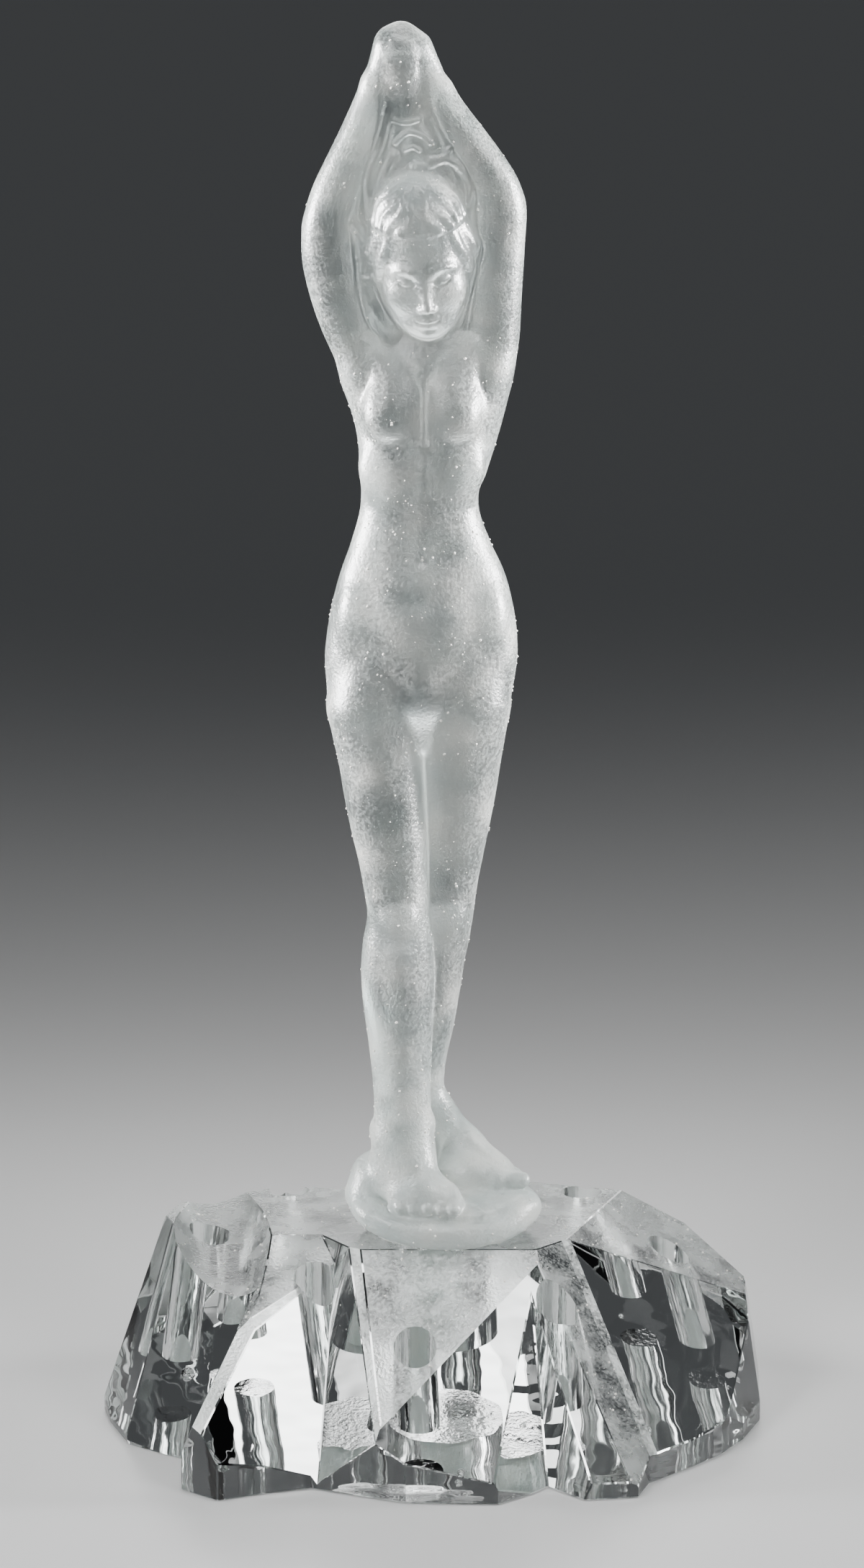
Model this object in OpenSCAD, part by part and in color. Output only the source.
// Two-piece glass flower block: a clear cut block with drilled stem holes and
// a frosted standing figure whose peg drops into the socket in its middle.
// The origin is the middle of the block's underside, on the peg's axis.
// +Z is up and the figure faces -Y. All sizes are millimetres.

/* [Block] */
// Height of the block, up to the flat seat that the figure stands on
block_h = 35; // [32:0.5:40]
// Thickness of solid glass left under the peg socket and the deepest stem holes
floor_t = 5; // [3:0.5:8]
// Radius of the ground scoop in the top of the left chunk
scoop_r = 10; // [8:0.5:11]

/* [Stem holes] */
// Diameter of the drilled stem holes
stem_d = 7.6; // [6:0.1:8.5]

/* [Figure] */
// Height of the whole ornament, from the table to the top of the raised hands
total_h = 254; // [250:1:260]
// Diameter of the peg under the plinth
peg_d = 20.9; // [18:0.1:22]
// Length of the peg below the seat
peg_l = 24; // [18:0.5:27]
// Radial clearance between the peg and its socket
peg_clear = 0.06; // [0.02:0.01:0.1]

/* [Hidden] */

// Glass colours: a faint grey-green for the clear cast, near white for the frosted one.
clear_glass = [0.82, 0.87, 0.86, 0.55];
frosted_glass = [0.90, 0.92, 0.91];

// Half the size of the large cubes that stand for half-spaces.
reach = 150;
// A point inside the block, which tells a facet which side is the outside.
core = [0, 0, 8];

// Footprint of the block on the table, anticlockwise from above.
footprint = [
  [-59.8, 2], [-58.5, -5], [-54.8, -17], [-47.7, -23], [-44.8, -25],
  [-44.2, -42.5], [-37.7, -48.3], [-30.2, -44.8], [-21.4, -41.8], [-4.8, -49.5],
  [11.6, -50.3], [20.6, -42], [25.5, -48.3], [36.3, -46.4], [38.5, -39],
  [46.5, -30], [51.9, -23], [56.1, -15], [59.6, -4], [59.8, 9],
  [55.5, 24], [45, 37], [31, 44], [22, 42], [8, 50.3],
  [-10, 49.2], [-17, 44.5], [-31, 44], [-45, 34], [-55, 20]
];

// Corners that neighbouring facets share.
left_peak = [-48.6, 9, 35];
plateau_edge = [-29, -3, 35];
ridge_top = [-10.8, -3, 35];
ridge_foot = [-35.4, -30, 24];
valley_top = [-31, -15.5, 29.9];
valley_foot = [-44.8, -25, 0];
front_peak = [-14, -12, 35];
front_apex = [-10, -45.7, 11.4];
front_corner = [15.5, -18.8, 30.2];
right_valley_foot = [20.6, -42, -1];
right_valley_top = [18, -22, 26];

// Facets that cut straight through the block, each by three of its points.
side_facets = [
  [[-59.8, 2, 3], [-55.4, -17, 0], left_peak],
  [[-59.8, 2, 3], [-55, 20, 2], left_peak],
  [front_peak, [14, -12, 35], front_apex],
  [front_corner, front_apex, [31, -38, 11]],
  [[15.5, -18.8, 33], [31, -34.6, 12.9], [26.3, -8, 32.3]],
  [[38.8, 24.9, 33], [53.2, 14.9, 24], [35.5, 5, 31.2]],
  [[59.6, -4, 4], [59.8, 9, 6], [57, 5, 22]],
  [[59.6, -4, 4], [56.1, -15, 3], [57, 0, 17]],
  [[-20, 31, 35], [20, 32.5, 35], [0, 49.4, 5]],
  [[-28.8, 27, 35], [-46, 17, 35], [-44, 33, 6]],
  [[29.6, 27, 35], [39, 25, 33], [46, 35.5, 6]],
  [[52, 20, 24], [57, 21, 8], [44, 31, 22]]
];

// Valleys between the chunks: the glass outside both of a valley's walls is gone.
left_front_wall = [[-55.4, -17, 0], [-47.7, -23, 0], valley_top];
chunk_side_wall = [valley_foot, valley_top, ridge_foot];
slope_wall = [plateau_edge, ridge_top, ridge_foot];
ridge_wall = [ridge_top, ridge_foot, [-30, -46, 4]];
front_left_wall = [front_peak, front_apex, [-21.4, -41.8, 0]];
front_right_wall = [right_valley_foot, right_valley_top, [11, -50, 4]];
right_chunk_wall = [right_valley_foot, right_valley_top, [29, -47, 6]];
back_left_wall = [[-17, 44.5, -1], [-15, 28, 30], [-9, 49, 4]];
back_right_wall = [[-17, 44.5, -1], [-15, 28, 30], [-29, 44, 5]];

// The scoop runs from the back of the left chunk down to its front.
scoop_back = [-38.8, 40, 47.5];
scoop_front = [-38, -30, 33.5];

// Stem holes: place of each axis and the height of its blind end.
stems = [
  [-40.5, 9, floor_t + 1], [-21, -14, floor_t], [-3, -30, floor_t],
  [22.4, -20, floor_t], [27.5, 24, floor_t + 1], [43.2, 10, floor_t],
  [1.5, 33, floor_t], [-26.5, 25, floor_t + 1]
];

socket_d = peg_d + 2 * peg_clear;
// Gap between the end of the peg and the bottom of its socket.
peg_end_gap = 1;
// Height of the frosted casting above its seat.
statue_h = total_h - block_h;
// How far the peg runs up into the plinth, so that they are one piece.
peg_root = 3;

// Facets of the lofts: sides of a ring, and rings between two stations.
ring_sides = 18;
ring_steps = 2;

// Everything on the outer side of the plane through three points.
module beyond(corners) {
  across = cross(corners[1] - corners[0], corners[2] - corners[0]);
  outward = across * (corners[0] - core) > 0 ? across : -across;
  lean = acos(outward[2] / norm(outward));
  translate(corners[0])
    rotate([0, lean, atan2(outward[1], outward[0])])
      translate([-reach, -reach, 0]) cube([2 * reach, 2 * reach, reach]);
}

// A valley with two walls.
module valley(wall_a, wall_b) {
  intersection() {
    beyond(wall_a);
    beyond(wall_b);
  }
}

// A cylinder from one point to another.
module rod(from, to, r) {
  way = to - from;
  translate(from)
    rotate([0, acos(way[2] / norm(way)), atan2(way[1], way[0])])
      cylinder(h = norm(way), r = r, $fn = 96);
}

module stem_holes() {
  for (hole = stems)
    translate(hole) cylinder(h = block_h, d = stem_d, $fn = 48);
}

module flower_block() {
  color(clear_glass)
    difference() {
      linear_extrude(block_h) polygon(footprint);
      for (facet = side_facets) beyond(facet);
      valley(left_front_wall, chunk_side_wall);
      valley(slope_wall, front_left_wall);
      valley(ridge_wall, front_left_wall);
      valley(front_right_wall, right_chunk_wall);
      valley(back_left_wall, back_right_wall);
      rod(scoop_back, scoop_front, scoop_r);
      stem_holes();
      translate([0, 0, block_h - peg_l - peg_end_gap])
        cylinder(h = peg_l + 2 * peg_end_gap, d = socket_d, $fn = 96);
    }
}

// A smooth curve through stations a, b, c and d, between b and c.
function between(a, b, c, d, t) =
  0.5 * (2 * b + (c - a) * t + (2 * a - 5 * b + 4 * c - d) * t * t
  + (3 * b - a - 3 * c + d) * t * t * t);

function smoothed(stations) =
  let (last = len(stations) - 1)
  concat(
    [for (i = [0:last - 1], k = [0:ring_steps - 1])
      between(stations[max(i - 1, 0)], stations[i], stations[i + 1],
        stations[min(i + 2, last)], k / ring_steps)],
    [stations[last]]
  );

// A closed loft through level oval rings. A station is [x, y, z, half width, half depth].
module loft(stations, sides = ring_sides) {
  rings = smoothed(stations);
  top = len(rings) - 1;
  points = [for (r = rings, k = [0:sides - 1])
    [r[0] + r[3] * cos(360 * k / sides), r[1] + r[4] * sin(360 * k / sides), r[2]]];
  walls = [for (i = [0:top - 1], k = [0:sides - 1])
    let (a = i * sides, j = (k + 1) % sides)
    each [[a + k, a + sides + k, a + j], [a + j, a + sides + k, a + sides + j]]];
  foot_cap = [for (k = [0:sides - 1]) k];
  top_cap = [for (k = [sides - 1:-1:0]) top * sides + k];
  polyhedron(points = points, faces = concat(walls, [foot_cap, top_cap]));
}

// The pebble that the figure stands on, cast in one with it.
module plinth() {
  loft([
    [0, 0, 35, 13, 11.4], [1.2, -0.4, 36.2, 15.6, 13.2], [2.3, -0.4, 38.6, 17.8, 14.6],
    [2.4, 0, 41.4, 17.4, 14.2], [1.6, 0.4, 43.4, 13.4, 11.4], [1.2, 0.8, 44.2, 8, 7]
  ], 28);
}

// The front leg and its foot, which points at the viewer.
module front_leg() {
  loft([
    [-5.2, -5.6, 42, 6, 6], [-5.2, -5.4, 48, 6, 5.8], [-5.3, -5, 54, 5.7, 5.2],
    [-5.3, -4.6, 60, 5.4, 4.9], [-5.5, -4, 66, 5.4, 5.2], [-5.7, -3.4, 72, 5.9, 5.8],
    [-6, -3, 78, 6.4, 6.4], [-6.2, -2.8, 84, 6.5, 6.8], [-6.2, -3, 89.5, 6.2, 6.4],
    [-6.1, -3.2, 94.5, 5.5, 6], [-6.4, -3, 98.5, 5.6, 6.2], [-7, -2.5, 104.5, 6.1, 6.6],
    [-7.7, -2, 110, 6.6, 7.2], [-8.4, -1.5, 116, 7.1, 7.8], [-9, -1, 122, 7.5, 8.2],
    [-9.6, -0.6, 127.5, 8.1, 8.8], [-10, -0.2, 133.5, 8.4, 9], [-9.5, 0, 141, 7, 8]
  ]);
  loft([
    [-1.5, -7.2, 40, 5.8, 8.4], [-1.6, -7, 43, 5.6, 8], [-2.8, -6.4, 46, 5.4, 6.8],
    [-4, -5.8, 49, 5.4, 5.8], [-5, -5, 53, 5.4, 5]
  ]);
}

// The rear leg and its foot, turned outwards.
module rear_leg() {
  loft([
    [-0.6, 5.2, 42, 4, 4.2], [-0.6, 5.2, 54, 4, 4.2], [-1.3, 5.1, 60, 3.5, 4],
    [-1, 5, 66, 3.7, 4.6], [-0.4, 4.9, 72, 4.4, 5.4], [0.1, 4.7, 78, 4.9, 6],
    [0.6, 4.5, 84, 5.3, 6.4], [1.3, 4, 88, 5.4, 6.2], [2.1, 3.5, 93, 5.3, 5.8],
    [2.6, 3.3, 98.5, 5.5, 6], [3.3, 3, 104.5, 5.8, 6.4], [3.9, 2.5, 110, 6.3, 7],
    [4.5, 2, 116, 6.8, 7.6], [4.9, 1.6, 122, 7.3, 8], [5.2, 1.2, 127.5, 7.9, 8.6],
    [5.6, 0.8, 133.5, 8.2, 8.8], [5.5, 0.5, 141, 7.5, 8]
  ]);
  loft([
    [8, 4.5, 40, 10.4, 4.6], [8, 4.5, 43, 10, 4.4], [5.6, 4.8, 46, 7.6, 4.2],
    [3, 5, 49, 5.2, 4], [0.6, 5, 53, 4.2, 4], [-0.8, 5, 58, 3.6, 3.8]
  ]);
}

module torso() {
  loft([
    [-2.1, 0.6, 120, 4, 4], [-2.2, 0.5, 127, 10, 7.2], [-2.2, 0.5, 133, 15.4, 9.6],
    [-2, 0.5, 139, 17, 10.6], [-1.8, 0.5, 145, 17, 10.6], [-1.7, 0.1, 151, 16.2, 9.8], [-1.7, -0.3, 157, 14.5, 8.9],
    [-2, -0.5, 162.5, 12.3, 8.1], [-2.2, -0.8, 169, 10.5, 7.7], [-1.8, -1, 176.5, 11, 8.3],
    [-1.2, -1, 182, 12.2, 8.9], [-0.8, -0.8, 188, 13, 9], [-0.7, -0.4, 193, 12.6, 8.3],
    [-0.5, 0, 197.5, 9.6, 7], [0, -0.6, 203, 5.4, 5.4]
  ], 22);
  for (side = [-5.9, 5.7])
    translate([side, -7.4, 184.6]) scale([1, 0.85, 1]) sphere(r = 4.4, $fn = 16);
}

module arms() {
  loft([
    [-9.8, 0, 182, 3.2, 4.4], [-11, 0.4, 188, 4.2, 5.5], [-12.5, 0.5, 194, 4.4, 5.6],
    [-14.8, 0.4, 200, 4.6, 5.2], [-16.6, 0, 206, 4.7, 5], [-18, -0.5, 212, 4.6, 4.8],
    [-18.5, -1, 217, 4.3, 4.6], [-17.9, -1.4, 221, 4.3, 4.4], [-16.5, -1.5, 225.5, 4.3, 4.2],
    [-14.7, -1.4, 230, 4, 4], [-12.3, -1, 235.5, 3.7, 3.8], [-10.2, -0.5, 241, 3.3, 3.4],
    [-9, -0.2, 246, 3.1, 3.2], [-7.8, 0, 250, 2.9, 2.8], [-6.8, 0, 252.6, 1.8, 1.8]
  ], 16);
  loft([
    [8, 0, 178, 3, 4], [8.6, 0.2, 182, 3.3, 4.8], [9.5, 0.5, 187.7, 4.2, 5.5],
    [10.3, 0.5, 193.4, 4.4, 5.5], [10.9, 0.4, 199, 4.5, 5.2], [11.2, 0, 205, 4.5, 5],
    [11.6, -0.3, 210.5, 4.5, 4.9], [11.9, -0.6, 216, 4.4, 4.7], [12.1, -1, 221.5, 4.4, 4.5],
    [11.1, -1.2, 226, 4.4, 4.3], [9, -1.2, 230, 4.4, 4.2], [5.3, -1, 235.4, 4, 4],
    [1.5, -0.5, 240.5, 3.4, 3.6], [-1.2, 0, 246, 2.8, 3.2], [-2.8, 0, 250, 2.6, 2.8],
    [-4, 0, 252.6, 1.6, 1.8]
  ], 16);
}

// The long hair, lifted by both hands, which fills the space between the arms.
module lifted_hair() {
  loft([
    [-1.4, 3, 195, 11, 4], [-2, 3, 203, 15, 4.6], [-2.6, 2.5, 211, 16.4, 5],
    [-3, 2, 219, 16.4, 5], [-2.9, 1.4, 226, 14.6, 5], [-3, 1, 232, 11.6, 4.8],
    [-4, 0.5, 238, 9, 4.5], [-4.9, 0.3, 244, 7.2, 4], [-5.4, 0, 249, 5.4, 3.4],
    [-5.8, 0, 252, 4, 2.6], [-5.9, 0, total_h, 1.5, 1.2]
  ], 20);
}

module head() {
  loft([
    [0.4, -6, 198.3, 2.2, 2.2], [0.2, -5.4, 200, 4.4, 4.6], [-0.3, -4.2, 204, 6.6, 7],
    [-1, -3.2, 208.5, 7.8, 8.2], [-1.5, -2.6, 213, 8.7, 8.6], [-2, -2.2, 217.5, 8.8, 8.4],
    [-2.4, -1.8, 221.5, 7.8, 7.4], [-2.6, -1.4, 225, 5.6, 5.6], [-2.8, -1, 227.5, 2.5, 2.6]
  ]);
}

// Plinth and figure are one casting, brought to its exact height above the seat.
module casting() {
  resize([0, 0, statue_h])
    translate([0, 0, -block_h]) {
      plinth();
      front_leg();
      rear_leg();
      torso();
      arms();
      lifted_hair();
      head();
    }
}

module figure() {
  color(frosted_glass)
    union() {
      translate([0, 0, block_h]) casting();
      translate([0, 0, block_h - peg_l])
        cylinder(h = peg_l + peg_root, d = peg_d, $fn = 96);
    }
}

flower_block();
figure();
